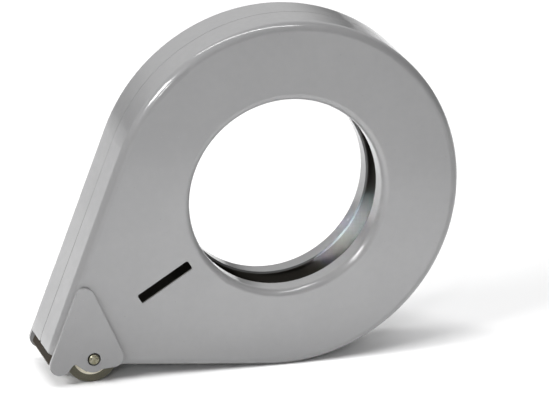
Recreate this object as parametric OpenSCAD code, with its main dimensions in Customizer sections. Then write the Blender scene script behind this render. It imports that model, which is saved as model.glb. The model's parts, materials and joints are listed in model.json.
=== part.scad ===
// Hand-held tape dispenser. A drop-shaped casing of pressed sheet steel is split at mid-width
// into a fixed half and a cover half, hinged at the back. A ring-shaped collar round the hand hole
// carries the roll, and a rubber roller and a toothed blade sit between two side plates at the nose.
// The nose points along -X, the cover half faces -Y, and the part stands on z = 0.

/* [Casing] */
// Outer radius of the round part of the casing
casing_r = 66; // [62:0.5:72]
// Thickness of the pressed sheet
sheet_t = 1; // [0.8:0.1:1.2]
// Outer radius of the pressed edge between face and wall
edge_r = 3.2; // [2.4:0.1:4]
// Lean of the front wall from upright, in degrees
front_lean = 20; // [17:0.5:23]
// Rise of the bottom wall towards the nose, in degrees
nose_rise = 5.35; // [4.35:0.25:6.35]
// Distance of the mouth past the axle, down the front wall
mouth_drop = 3.3; // [1:0.1:4.5]
// Length of the front wall's curled end
lip_len = 5.5; // [4:0.5:8]
// Radius to which the front wall's end is curled in
lip_r = 30; // [26:1:60]
// Radius of the front wall's corner beside the seam, at the mouth
mouth_corner_r = 2; // [1:0.25:3]

/* [Hand hole] */
// Radius of the hand hole, inside the collars
hole_r = 36.5; // [34:0.5:38]
// Outer radius of the pressed rim between face and collar
rim_r = 2.6; // [2:0.1:3.2]
// Depth of each collar below its face
collar_depth = 8.35; // [6:0.25:11]

/* [Roll window] */
// Distance from the hand hole to the window
window_gap = 6.8; // [5:0.1:9]
// Length of the window
window_len = 22.3; // [16:0.1:24]
// Width of the window
window_w = 3.9; // [3:0.1:5]
// Radius of the window's corners
window_corner_r = 0.8; // [0.4:0.1:1.2]

/* [Seam] */
// Gap between the two halves of the casing
seam_gap = 0.2; // [0.1:0.05:0.4]
// Thickness of the strips behind the seam
strip_t = 0.8; // [0.6:0.1:1]
// Width of each strip on either side of the seam
strip_w = 3.2; // [2.4:0.2:4]
// Clearance between a strip and the cover's wall
strip_clear = 0.3; // [0.2:0.05:0.5]
// Distance from the ends of a straight wall to its strip
strip_margin = 6; // [4:0.5:9]
// Angle above the level at which the top strip starts, in degrees
strip_start_angle = 60; // [50:1:70]

/* [Side plates] */
// Thickness of each side plate
cheek_t = 1.6; // [1.2:0.1:2]
// Radius of the side plate's three corners
cheek_r = 3.8; // [3.2:0.1:4.4]
// Distance from the front wall's outer face to the plate's front edge
cheek_inset = 1.4; // [1:0.1:2]
// Distance of the top corner's centre above the axle, along the front wall
cheek_rise = 21.2; // [18:0.2:26]
// Distance of the front lobe's centre below the axle, along the front wall
cheek_drop = 5.8; // [4.5:0.1:7]
// Distance of the rear corner's centre behind the axle
cheek_rear = 7.5; // [6.5:0.25:8.5]
// Radius of the plate round the axle
boss_r = 5.1; // [4.6:0.1:5.6]
// Radius of the notch between the lobe and the boss
notch_r = 1.2; // [0.8:0.1:1.6]
// Distance of the notch ahead of the axle
notch_ahead = 7.1; // [6.7:0.1:7.5]
// Distance of the notch below the axle
notch_drop = 2.8; // [2.4:0.1:3.2]
// Step from the plate's edge back to the casing's lug behind it
lug_step = 0.7; // [0.4:0.1:1]

/* [Roller] */
// Outer radius of the rubber sleeve
roller_r = 10; // [9.5:0.25:10.5]
// Radius of the nylon core
core_r = 7; // [6:0.25:8]
// Length of the roller, which is 1 mm more than the tape's width
roller_len = 26; // [22:0.2:51]
// Least gap between the roller and each face of the casing
roller_side_gap = 0.6; // [0.55:0.05:1.2]
// Bevel at the sleeve's ends
sleeve_bevel = 0.4; // [0.2:0.1:0.8]
// Gap between the roller and the blade holder, through which the tape goes
tape_way = 2.35; // [1.8:0.05:3.8]
// Radius of the axle
axle_r = 1.95; // [1.6:0.05:2.1]
// Clearance between the axle and the core
run_clear = 0.05; // [0.02:0.01:0.1]
// Clearance between the axle and the casing's holes
axle_clear = 0.52; // [0.35:0.05:0.7]
// Height of the axle's ends above the side plates
axle_proud = 0.7; // [0.4:0.1:1]
// Radius of the axle's closed head
axle_head_r = 3.2; // [2.8:0.1:3.6]
// Bevel at the axle's free end
axle_bevel = 0.4; // [0.2:0.1:0.6]
// Gap between the roller and the end of the bottom wall
roller_gap = 1; // [0.6:0.1:2]

/* [Axle clip and washer] */
// Outer radius of the retaining clip
clip_r = 3.6; // [3.2:0.1:3.8]
// Thickness of the retaining clip
clip_t = 0.6; // [0.5:0.05:0.7]
// Depth of the clip's groove in the axle
groove_depth = 0.45; // [0.3:0.05:0.6]
// Side play of the clip in its groove and recess
clip_play = 0.1; // [0.05:0.05:0.15]
// Width of the clip's mouth
clip_mouth = 2.4; // [2:0.1:2.8]
// Depth of the recess in the core that holds the clip
recess_depth = 1.2; // [1.1:0.05:1.5]
// Radius of the recess in the core that holds the clip
recess_r = 4.3; // [4.1:0.1:4.8]
// Outer radius of the thrust washer
washer_r = 4.5; // [4:0.1:5]
// Thickness of the thrust washer
washer_t = 0.5; // [0.4:0.05:0.5]

/* [Blade] */
// Width of the blade across the tape
blade_w = 24.6; // [22:0.2:50]
// Least gap between the blade and each face of the casing
blade_side_gap = 1.3; // [0.4:0.1:2]
// Length of the blade down the front wall
blade_len = 22.2; // [20:0.2:23]
// Thickness of the blade
blade_t = 0.6; // [0.4:0.1:0.7]
// Distance from the front wall's outer face to the blade
blade_inset = 2.1; // [2:0.05:2.4]
// Length of blade that shows below the mouth
blade_reach = 4.3; // [3.6:0.1:4.8]
// Width of one tooth
tooth_pitch = 1.025; // [0.8:0.025:1.6]
// Depth of one tooth
tooth_depth = 0.8; // [0.5:0.1:1.2]
// Radius of a blade screw's shank
screw_r = 1.25; // [1:0.05:1.4]
// Radius of a blade screw's flush head
screw_head_r = 2.3; // [2:0.1:2.5]
// Depth of a blade screw's flush head
screw_head_h = 1.2; // [1:0.1:1.4]
// Length of shank that stands out behind the holder
screw_out = 0.8; // [0.4:0.1:1.2]
// Distance of the screws below the blade's top edge
screw_drop = 4; // [3.4:0.1:5]

/* [Blade holder] */
// Thickness of the blade holder
holder_t = 1.5; // [1.2:0.1:1.8]
// Distance of the holder's top edge above the blade's top edge
holder_above = 5; // [4:0.5:6]
// Height of the holder down the front wall
holder_len = 19; // [16:0.5:20]
// Height of the holder's foot
foot_len = 12; // [9:0.5:12.5]
// Length of the holder's foot on the casing's face
foot_w = 5.3; // [4:0.1:5.4]
// Outer radius of the holder's bend
bend_r = 2; // [1.9:0.1:2.4]
// Gap between the holder's free end and the cover's face
holder_gap = 1.6; // [1.2:0.1:2]

/* [Catch] */
// Thickness of the catch spring
catch_t = 0.4; // [0.3:0.05:0.5]
// Width of the catch spring
catch_w = 5; // [4:0.25:5.5]
// Length of the catch spring's finger
catch_finger = 5.3; // [5:0.1:5.6]
// Length of the catch spring's foot
catch_foot = 8.5; // [7.5:0.25:9.5]
// Outer radius of the catch spring's bend
catch_bend_r = 0.9; // [0.7:0.1:1.1]
// Clearance between the finger and the holder
catch_clear = 0.3; // [0.2:0.05:0.4]
// Radius of the catch's pip at its root
pip_r = 1.1; // [0.9:0.05:1.2]
// Height of the catch's pip
pip_h = 0.9; // [0.6:0.1:1.1]
// Clearance between the pip and its hole
pip_clear = 0.35; // [0.3:0.05:0.5]
// Radius of the catch rivet's shank
rivet_r = 0.9; // [0.7:0.05:1]
// Radius of the catch rivet's heads
rivet_head_r = 1.7; // [1.4:0.1:1.9]
// Height of each of the catch rivet's heads
rivet_head_h = 0.6; // [0.5:0.05:0.7]

/* [Hinge] */
// Radius of the hinge's knuckles
knuckle_r = 1.2; // [1.1:0.05:1.5]
// Radius of the hinge pin
pin_r = 0.6; // [0.5:0.05:0.7]
// Length of the row of knuckles
hinge_len = 14; // [11:0.5:18]
// Distance of the hinge's lower end below the hub
hinge_drop = 10; // [8:0.5:12]
// Gap between the knuckles and the casing's wall
hinge_gap = 0.2; // [0.2:0.05:0.4]
// Gap between two knuckles
knuckle_gap = 0.3; // [0.2:0.05:0.5]
// Thickness of the hinge leaves
leaf_t = 0.7; // [0.5:0.05:0.9]
// Width of each hinge leaf
leaf_w = 9; // [7:0.5:10]

/* [Hidden] */
$fn = 96;
casing_grey = [0.66, 0.66, 0.67];
strip_grey = [0.58, 0.58, 0.59];
blade_black = [0.2, 0.19, 0.17];
spring_grey = [0.52, 0.53, 0.55];
zinc_grey = [0.72, 0.73, 0.75];
axle_nickel = [0.75, 0.74, 0.64];
core_cream = [0.86, 0.84, 0.76];
sleeve_olive = [0.34, 0.33, 0.24];
// Share of a row of knuckles that the middle knuckle takes
middle_share = 0.36;
// Shares of the blade's width from mid-width to its two screws, towards the cover
screw_shares = [0.138, 0.366];
// Share of a tooth's pitch at which its point stands
point_share = 0.5;
// Share of the rivet's and the pip's root radius that is left at the end
taper_share = 0.6;
// Distance by which the bottom wall is thinner on each side than the round part that it meets
weld_step_t = 0.01;
// Steps round the casing's edge, fine enough to hold the thinner bottom wall between its facets
edge_steps = 360;
// Share of the mouth's corner radius at which its centre stands from both edges
corner_share = 0.96;
// Run of every cut past the faces that it cuts
over = 1;
// Width of face that the pieces of a shell share where they meet
face_lap = 2;
// Directions of the notch's two sides, in degrees
notch_front_angle = 233;
notch_rear_angle = 322;

function along(angle) = [cos(angle), sin(angle)];
function upright(p) = -[p * front_out, p * front_down];
function right_of(a, b) = [b.y - a.y, a.x - b.x] / norm(b - a);

// The casing is drawn round the hub, lying down: x to the rear, y up, z towards the cover's face.
inside_w = max(roller_len / 2 + roller_side_gap, blade_w / 2 + blade_side_gap);
half_w = inside_w + sheet_t;
outside_w = half_w + cheek_t;
flat_inset = edge_r + face_lap;
front_out = along(180 - front_lean);
front_down = along(270 - front_lean);
bottom_out = along(270 - nose_rise);
bottom_ahead = along(180 - nose_rise);
wall_turn = front_lean - nose_rise;
nose_angle = (450 - front_lean - nose_rise) / 2;
nose_half_angle = nose_angle - 180 + front_lean;
function front_point(down, inset) = front_out * (casing_r - inset) + front_down * down;
function bottom_point(ahead, inset) = bottom_out * (casing_r - inset) + bottom_ahead * ahead;

blade_back = blade_inset + blade_t;
holder_back = blade_back + holder_t;
axle_drop = casing_r - roller_r;
axle_inset = holder_back + tape_way + roller_r;
axle_at = [(axle_inset - casing_r - axle_drop * sin(front_lean)) / cos(front_lean), -axle_drop];
axle_down = axle_at * front_down;
front_len = axle_down + mouth_drop;
axle_hole_r = axle_r + axle_clear;
bottom_len = axle_at * bottom_ahead - roller_r - roller_gap;
lip_angle = (lip_len + over) / lip_r * 180 / PI;
lip_start = front_len - lip_len;

cheek_centre = cheek_inset + cheek_r;
cheek_corners = [
    front_point(axle_down - cheek_rise, cheek_centre),
    front_point(axle_down + cheek_drop, cheek_centre),
    axle_at + [cheek_rear, 0]
];
notch_at = axle_at - [notch_ahead, notch_drop];
notch_side = 2 * boss_r;

blade_edge = front_len + blade_reach;
blade_top = blade_edge - blade_len;
holder_top = blade_top - holder_above;
holder_end = inside_w - holder_gap;
screw_down = blade_top + screw_drop;
screw_places = screw_shares * blade_w;
catch_down = holder_top + catch_w / 2 + bend_r / 2;
catch_face = holder_back + catch_clear;
pip_width = inside_w - catch_finger + pip_r + catch_clear;
rivet_inset = catch_face + catch_foot - rivet_head_r - catch_clear;

hinge_x = casing_r + hinge_gap + knuckle_r;
hinge_top = hinge_len - hinge_drop;
middle_len = hinge_len * middle_share;
outer_len = (hinge_len - middle_len) / 2 - knuckle_gap;
far_knuckles = [[-hinge_drop, outer_len], [hinge_top - outer_len, outer_len]];
near_knuckles = [[-hinge_drop + outer_len + knuckle_gap, middle_len]];

// The hub stands over the point midway between the nose's tip and the hinge's back.
nose_tip = cheek_corners[1].x - cheek_r;
window_middle = hole_r + window_gap + window_len / 2;
hub_x = -(nose_tip + hinge_x + knuckle_r) / 2;

// Stands the lying frame up, with the hub over the origin's line.
module stand() {
    translate([hub_x, 0, casing_r]) rotate([90, 0, 0]) children();
}

// Turns a piece drawn for the cover half into the fixed half's.
module fixed_side() {
    mirror([0, 0, 1]) children();
}

// Leans back what is drawn with the front wall upright.
module lean() {
    rotate([0, 0, -front_lean]) children();
}

// With the front wall upright: x inward from its outer face, y up it from the round part.
module front_frame() {
    translate([-casing_r, 0, 0]) children();
}

// With the front wall upright: x back along the bottom wall, y inward from its outer face.
module bottom_frame() {
    rotate([0, 0, wall_turn]) translate([0, -casing_r, 0]) children();
}

// Sweeps a section (x inward, y towards the cover) down the front wall.
module down_front(from, length) {
    front_frame() translate([0, -from, 0]) rotate([90, 0, 0])
        linear_extrude(height = length) children();
}

// Sweeps the same kind of section along the bottom wall, towards the nose.
module along_bottom(from, length) {
    bottom_frame() translate([-from - length, 0, 0]) rotate([90, 0, 90])
        linear_extrude(height = length) children();
}

// Sweeps the same kind of section round the hub.
module round_hub(from, angle) {
    rotate([0, 0, from]) rotate_extrude(angle = angle)
        translate([casing_r, 0]) mirror([1, 0]) children();
}

// Extrudes an outline in the front wall's plane (x up, y towards the cover) inward.
module through_front(inset, thickness) {
    front_frame() translate([inset, 0, 0]) rotate([90, 0, 90])
        linear_extrude(height = thickness) children();
}

// A plate's outline with equal round corners, given counter-clockwise.
module rounded_outline(corners, r) {
    n = len(corners);
    polygon([
        for (i = [0 : n - 1], k = [0, 1])
            corners[(i + k) % n] + r * right_of(corners[i], corners[(i + 1) % n])
    ]);
    for (c = corners) translate(c) circle(r);
}

// A quarter of a bent sheet, curving from -x to +y round its centre.
module bend(r, t) {
    intersection() {
        difference() {
            circle(r);
            circle(r - t);
        }
        translate([-r, 0]) square(r);
    }
}

// Section of a casing half: wall, pressed edge and a stretch of face, thinned on every side.
module edge_section(reach, thinning = 0) {
    t = sheet_t - 2 * thinning;
    seam = seam_gap / 2 + thinning;
    translate([thinning, seam]) square([t, half_w - edge_r - seam]);
    translate([edge_r, half_w - edge_r]) bend(edge_r - thinning, t);
    translate([edge_r, inside_w + thinning]) square([reach - edge_r, t]);
}

// Section of the hand hole: collar, pressed rim and a stretch of face.
module collar_section(reach) {
    translate([hole_r, half_w - collar_depth]) square([sheet_t, collar_depth - rim_r]);
    translate([hole_r + rim_r, half_w - rim_r]) bend(rim_r, sheet_t);
    translate([hole_r + rim_r, inside_w]) square([reach - hole_r - rim_r, sheet_t]);
}

// The face between the round part and the nose.
module nose_face() {
    flat_r = casing_r - flat_inset;
    translate([0, 0, inside_w]) linear_extrude(height = sheet_t) difference() {
        polygon([
            [0, 0],
            upright(front_out) * flat_r,
            upright(along(nose_angle)) * flat_r / cos(nose_half_angle),
            upright(bottom_out) * flat_r
        ]);
        circle(hole_r + rim_r + face_lap);
    }
}

// The casing's edge round the hub, open between the two straight walls.
module round_edge(reach) {
    quadrant = casing_r + over;
    section_steps = $fn;
    difference() {
        rotate_extrude($fn = edge_steps)
            translate([casing_r, 0]) mirror([1, 0]) edge_section(reach, $fn = section_steps);
        for (turn = [0, wall_turn]) rotate([0, 0, turn])
            translate([-quadrant, -quadrant, -over]) cube([quadrant, quadrant, half_w + 2 * over]);
    }
}

// All that lies ahead of the line from the mouth to the end of the bottom wall.
module nose_cut() {
    mouth = upright(front_point(front_len, -over));
    heel = upright(bottom_point(bottom_len, -over));
    ahead = upright(along(nose_angle)) * casing_r;
    translate([0, 0, -over]) linear_extrude(height = half_w + 2 * over)
        polygon([mouth, heel, heel + ahead, mouth + ahead]);
}

// The square corner that is cut off a half's front wall beside the seam.
module mouth_corner() {
    centre_at = mouth_corner_r * corner_share;
    corner = [centre_at - front_len, centre_at + seam_gap / 2];
    through_front(-over, sheet_t + 2 * over) difference() {
        translate(corner - [mouth_corner_r + over, mouth_corner_r + over])
            square(mouth_corner_r + over);
        translate(corner) circle(mouth_corner_r);
    }
}

// One half of the casing, as the cover, without its window, with the front wall upright.
module half_shell() {
    reach = flat_inset + face_lap;
    axle = upright(axle_at);
    difference() {
        union() {
            difference() {
                union() {
                    rotate_extrude() collar_section(casing_r - flat_inset);
                    round_edge(reach);
                    down_front(0, lip_start) edge_section(reach);
                    front_frame() translate([lip_r, -lip_start, 0]) rotate([0, 0, 180])
                        rotate_extrude(angle = lip_angle) translate([lip_r, 0])
                        mirror([1, 0]) edge_section(reach);
                    along_bottom(0, bottom_len) edge_section(reach, weld_step_t);
                    nose_face();
                }
                nose_cut();
                mouth_corner();
            }
            translate([axle.x, axle.y, inside_w]) cylinder(r = boss_r - lug_step, h = sheet_t);
        }
        translate([axle.x, axle.y, inside_w - over])
            cylinder(r = axle_hole_r, h = sheet_t + 2 * over);
    }
}

module window_cut() {
    flat = [window_len, window_w] - 2 * [window_corner_r, window_corner_r];
    corners = [[-1, -1], [1, -1], [1, 1], [-1, 1]] / 2;
    rotate([0, 0, nose_angle]) translate([window_middle, 0, inside_w - over])
        linear_extrude(height = sheet_t + 2 * over)
        rounded_outline([for (c = corners) [c.x * flat.x, c.y * flat.y]], window_corner_r);
}

module catch_rivet_hole() {
    front_frame() translate([rivet_inset, -catch_down, half_w]) mirror([0, 0, 1]) {
        cylinder(r = rivet_r, h = sheet_t + over);
        cylinder(r1 = rivet_head_r, r2 = rivet_r, h = rivet_head_h);
    }
}

module cheek(hole) {
    translate([0, 0, half_w]) linear_extrude(height = cheek_t) difference() {
        union() {
            difference() {
                rounded_outline(cheek_corners, cheek_r);
                rounded_outline([
                    notch_at,
                    notch_at + notch_side * along(notch_front_angle),
                    notch_at + notch_side * along(notch_rear_angle)
                ], notch_r);
            }
            translate(axle_at) circle(boss_r);
        }
        translate(axle_at) circle(hole);
    }
}

// Section of a strip behind the seam: welded to the fixed wall, stepped clear of the cover's.
module strip_section() {
    translate([sheet_t, -strip_w]) square([strip_t, strip_w]);
    translate([sheet_t + strip_clear, 0]) square([strip_t, strip_w]);
}

module far_shell() {
    color(casing_grey) stand() lean() fixed_side() half_shell();
}

module near_shell() {
    color(casing_grey) stand() difference() {
        lean() difference() {
            half_shell();
            catch_rivet_hole();
        }
        window_cut();
    }
}

module far_cheek() {
    color(casing_grey) stand() fixed_side() cheek(axle_r);
}

module near_cheek() {
    color(casing_grey) stand() cheek(axle_hole_r);
}

module seam_strip_front() {
    color(strip_grey) stand() lean()
        down_front(strip_margin, holder_top - 2 * strip_margin) strip_section();
}

module seam_strip_top() {
    color(strip_grey) stand()
        round_hub(strip_start_angle, 180 - front_lean - strip_start_angle) strip_section();
}

module seam_strip_bottom() {
    color(strip_grey) stand() lean()
        along_bottom(strip_margin, bottom_len - 2 * strip_margin) strip_section();
}

// Section of the holder's foot: a bend from the blade plate to the fixed half's face.
module foot_section() {
    mirror([0, 1]) translate([blade_back + bend_r, inside_w - bend_r]) {
        bend(bend_r, holder_t);
        translate([0, bend_r - holder_t]) square([foot_w - bend_r, holder_t]);
        translate([-bend_r, -bend_r]) square([holder_t, bend_r]);
    }
}

module screw_holes(inset, depth) {
    for (place = screw_places) front_frame() translate([inset, -screw_down, place])
        rotate([0, 90, 0]) cylinder(r = screw_r, h = depth);
}

module screw_heads() {
    for (place = screw_places) front_frame() translate([blade_inset, -screw_down, place])
        rotate([0, 90, 0]) cylinder(r1 = screw_head_r, r2 = screw_r, h = screw_head_h);
}

module blade_holder() {
    plate_end = inside_w - bend_r;
    color(spring_grey) stand() lean() difference() {
        union() {
            down_front(holder_top, holder_len) translate([blade_back, -plate_end])
                square([holder_t, plate_end + holder_end]);
            down_front(holder_top, foot_len) foot_section();
        }
        screw_holes(blade_back - over, holder_t + 2 * over);
        screw_heads();
        front_frame() translate([blade_back - over, -catch_down, pip_width])
            rotate([0, 90, 0]) cylinder(r = pip_r + pip_clear, h = holder_t + 2 * over);
    }
}

module blade() {
    teeth = round(blade_w / tooth_pitch);
    pitch = blade_w / teeth;
    root = tooth_depth - blade_edge;
    color(blade_black) stand() lean() difference() {
        through_front(blade_inset, blade_t) polygon(concat(
            [[-blade_top, -blade_w / 2]],
            [for (i = [0 : teeth - 1], point = [0, 1])
                [root - point * tooth_depth, (i + point * point_share) * pitch - blade_w / 2]],
            [[root, blade_w / 2], [-blade_top, blade_w / 2]]
        ));
        screw_holes(blade_inset - over, blade_t + 2 * over);
        screw_heads();
    }
}

module blade_screws() {
    color(zinc_grey) stand() lean() {
        screw_holes(blade_inset + screw_head_h, blade_t + holder_t + screw_out - screw_head_h);
        screw_heads();
    }
}

// Turned in one profile, from the closed head on the fixed side to the free end at the cover.
module roller_axle() {
    free_end = outside_w + axle_proud;
    groove = roller_len / 2 - recess_depth / 2 - clip_t / 2;
    color(axle_nickel) stand() translate(axle_at) rotate_extrude() polygon([
        [0, -outside_w - axle_proud],
        [axle_head_r - axle_bevel, -outside_w - axle_proud],
        [axle_head_r, -outside_w - axle_proud + axle_bevel],
        [axle_head_r, -outside_w],
        [axle_r, -outside_w],
        [axle_r, groove - clip_play],
        [axle_r - groove_depth, groove - clip_play],
        [axle_r - groove_depth, groove + clip_t + clip_play],
        [axle_r, groove + clip_t + clip_play],
        [axle_r, free_end - axle_bevel],
        [axle_r - axle_bevel, free_end],
        [0, free_end]
    ]);
}

module axle_clip() {
    color(spring_grey) stand()
        translate([axle_at.x, axle_at.y, roller_len / 2 - recess_depth / 2 - clip_t / 2])
        linear_extrude(height = clip_t) difference() {
            circle(clip_r);
            circle(axle_r - groove_depth);
            translate([0, -clip_mouth / 2]) square([clip_r + over, clip_mouth]);
        }
}

module thrust_washer() {
    color(zinc_grey) stand() translate([axle_at.x, axle_at.y, -inside_w])
        linear_extrude(height = washer_t) difference() {
            circle(washer_r);
            circle(axle_r + run_clear);
        }
}

module roller_core() {
    color(core_cream) stand() translate(axle_at) rotate_extrude() polygon([
        [axle_r + run_clear, -roller_len / 2],
        [core_r, -roller_len / 2],
        [core_r, roller_len / 2],
        [recess_r, roller_len / 2],
        [recess_r, roller_len / 2 - recess_depth],
        [axle_r + run_clear, roller_len / 2 - recess_depth]
    ]);
}

module roller_sleeve() {
    end = roller_len / 2;
    color(sleeve_olive) stand() translate(axle_at) rotate_extrude() polygon([
        [core_r, -end],
        [roller_r - sleeve_bevel, -end],
        [roller_r, sleeve_bevel - end],
        [roller_r, end - sleeve_bevel],
        [roller_r - sleeve_bevel, end],
        [core_r, end]
    ]);
}

// Places what is drawn along y, up from the given height, on the hinge's axis.
module on_hinge(from) {
    translate([hinge_x, from, 0]) rotate([-90, 0, 0]) children();
}

// A leaf that lies on the cover half's wall, with the knuckles in the list.
module hinge_leaf(knuckles, bore) {
    low_angle = asin(-hinge_drop / casing_r);
    high_angle = asin(hinge_top / casing_r);
    leaf_start = knuckle_r + hinge_gap;
    difference() {
        union() {
            rotate([0, 0, low_angle]) rotate_extrude(angle = high_angle - low_angle)
                translate([casing_r, leaf_start]) square([leaf_t, leaf_w - leaf_start]);
            difference() {
                for (k = knuckles) translate([casing_r - over, k[0], hinge_gap])
                    cube([over + hinge_gap + leaf_t, k[1], leaf_start + leaf_t - hinge_gap]);
                translate([0, 0, -over]) cylinder(r = casing_r, h = leaf_w + 2 * over);
            }
            for (k = knuckles) on_hinge(k[0]) cylinder(r = knuckle_r, h = k[1]);
        }
        on_hinge(-hinge_drop - over) cylinder(r = bore, h = hinge_len + 2 * over);
    }
}

module hinge_leaf_far() {
    color(casing_grey) stand() fixed_side() hinge_leaf(far_knuckles, pin_r);
}

module hinge_leaf_near() {
    color(casing_grey) stand() hinge_leaf(near_knuckles, pin_r + run_clear);
}

module hinge_pin() {
    color(zinc_grey) stand() on_hinge(-hinge_drop) cylinder(r = pin_r, h = hinge_len);
}

// A bent leaf spring on the cover's face. Its pip snaps into a hole in the blade holder.
module catch_spring() {
    color(spring_grey) stand() lean() difference() {
        union() {
            down_front(catch_down - catch_w / 2, catch_w)
                translate([catch_face + catch_bend_r, inside_w - catch_bend_r]) {
                bend(catch_bend_r, catch_t);
                translate([0, catch_bend_r - catch_t])
                    square([catch_foot - catch_bend_r, catch_t]);
                translate([-catch_bend_r, catch_bend_r - catch_finger])
                    square([catch_t, catch_finger - catch_bend_r]);
            }
            front_frame() translate([catch_face, -catch_down, pip_width]) rotate([0, -90, 0])
                cylinder(r1 = pip_r, r2 = pip_r * taper_share, h = pip_h);
        }
        front_frame() translate([rivet_inset, -catch_down, inside_w - catch_t - over])
            cylinder(r = rivet_r, h = catch_t + 2 * over);
    }
}

module catch_rivet() {
    color(zinc_grey) stand() lean() front_frame()
        translate([rivet_inset, -catch_down, half_w]) mirror([0, 0, 1]) {
        cylinder(r = rivet_r, h = sheet_t + catch_t);
        cylinder(r1 = rivet_head_r, r2 = rivet_r, h = rivet_head_h);
        translate([0, 0, sheet_t + catch_t])
            cylinder(r1 = rivet_head_r, r2 = rivet_head_r * taper_share, h = rivet_head_h);
    }
}

far_shell();
far_cheek();
seam_strip_front();
seam_strip_top();
seam_strip_bottom();
blade_holder();
blade();
blade_screws();
roller_axle();
axle_clip();
thrust_washer();
hinge_leaf_far();
hinge_pin();
near_shell();
near_cheek();
hinge_leaf_near();
catch_spring();
catch_rivet();
roller_core();
roller_sleeve();
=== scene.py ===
"""A hand-held tape dispenser of grey enamelled sheet steel, standing on a pale studio floor."""

import json
import logging
import math
from dataclasses import dataclass
from enum import Enum
from functools import cache

import bmesh
import bpy
from mathutils import Matrix, Quaternion, Vector


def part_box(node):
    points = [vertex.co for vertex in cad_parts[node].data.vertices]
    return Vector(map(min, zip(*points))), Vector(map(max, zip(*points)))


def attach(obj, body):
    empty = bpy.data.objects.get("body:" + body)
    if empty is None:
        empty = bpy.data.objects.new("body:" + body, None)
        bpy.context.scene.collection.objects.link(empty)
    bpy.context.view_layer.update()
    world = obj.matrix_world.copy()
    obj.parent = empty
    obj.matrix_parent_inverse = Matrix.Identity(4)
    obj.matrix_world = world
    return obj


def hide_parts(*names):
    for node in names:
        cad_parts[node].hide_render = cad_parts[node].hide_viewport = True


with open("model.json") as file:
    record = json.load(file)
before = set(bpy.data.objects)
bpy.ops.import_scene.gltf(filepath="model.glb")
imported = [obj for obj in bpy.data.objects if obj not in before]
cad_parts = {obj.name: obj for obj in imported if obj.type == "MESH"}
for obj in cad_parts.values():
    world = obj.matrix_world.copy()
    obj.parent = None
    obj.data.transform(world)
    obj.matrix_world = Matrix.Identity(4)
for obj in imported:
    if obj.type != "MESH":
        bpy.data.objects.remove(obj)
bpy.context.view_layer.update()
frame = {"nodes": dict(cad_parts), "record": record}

MM = 0.001
TINY = 1e-7
SIDEWAYS = Vector((0.0, 1.0, 0.0))
LOG = logging.getLogger("dispenser")

Colour = tuple[float, float, float, float]
Place = tuple[float, float, float]
Span = tuple[float, float]
Piece = bpy.types.Object
Material = bpy.types.Material
Tree = bpy.types.NodeTree
Node = bpy.types.Node
Socket = bpy.types.NodeSocket
Shape = bmesh.types.BMesh


class Side(Enum):
    """The half of the casing that a piece belongs to, with the body that it rides on."""

    COVER = "cover"
    FIXED = "body"


# ---- places shared by the pieces ----


@dataclass(frozen=True)
class Layout:
    """Sizes and directions that the sub-assemblies share, in metres and radians.

    Places in the plane of the faces are Vectors (x, z) from the hub's axis.
    """

    casing_r: float = 66.0 * MM
    half_w: float = 14.6 * MM
    edge_r: float = 3.2 * MM
    collar_r: float = 37.5 * MM
    sheet_t: float = 1.0 * MM
    front_lean: float = math.radians(20.0)
    nose_rise: float = math.radians(5.35)

    @property
    def hub(self) -> Vector:
        """The middle of the hand hole."""
        mount = next(m for m in frame["record"]["mounts"] if m["name"] == "roll_collar_near")
        return Vector((mount["pos_m"][0], 0.0, mount["pos_m"][2]))

    @property
    def axle(self) -> Vector:
        """The roller's axle.

        Returns:
            Its place from the hub.
        """
        joints = frame["record"]["behaviour"]["joints"]
        x, _, z = next(joint for joint in joints if joint["name"] == "roller_spin")["pos_m"]
        return Vector((x - self.hub.x, z - self.hub.z))

    @property
    def front_angle(self) -> float:
        """Direction from the hub to the front wall's tangent point."""
        return math.pi - self.front_lean

    @property
    def bottom_angle(self) -> float:
        """Direction from the hub to the bottom wall's tangent point, below the level."""
        return -math.pi / 2 - self.nose_rise

    @property
    def nose_angle(self) -> float:
        """Direction from the hub to the nose, halfway between the two walls."""
        return (self.front_angle + self.bottom_angle + 2 * math.pi) / 2

    @property
    def front_out(self) -> Vector:
        """Outward from the front wall."""
        return direction(self.front_angle)

    @property
    def front_down(self) -> Vector:
        """Down the front wall."""
        return direction(self.front_angle + math.pi / 2)

    @property
    def bottom_out(self) -> Vector:
        """Outward from the bottom wall."""
        return direction(self.bottom_angle)

    def on_front(self, down: float, inset: float) -> Vector:
        """A place on or behind the front wall."""
        return self.front_out * (self.casing_r - inset) + self.front_down * down


def direction(angle: float) -> Vector:
    """The unit vector (x, z) at an angle above the level."""
    return Vector((math.cos(angle), math.sin(angle)))


def lifted(place: Vector, depth: float) -> Vector:
    """A place (x, z) at a depth along Y."""
    return Vector((place.x, depth, place.y))


def crossing(a: Vector, along_a: Vector, b: Vector, along_b: Vector) -> Vector:
    """Where two lines of the plane of the faces cross, each with a point and a direction."""
    across = Vector((-along_b.y, along_b.x))
    return a + along_a * ((b - a).dot(across) / along_a.dot(across))


# ---- drawing with bmesh operators ----


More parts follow.
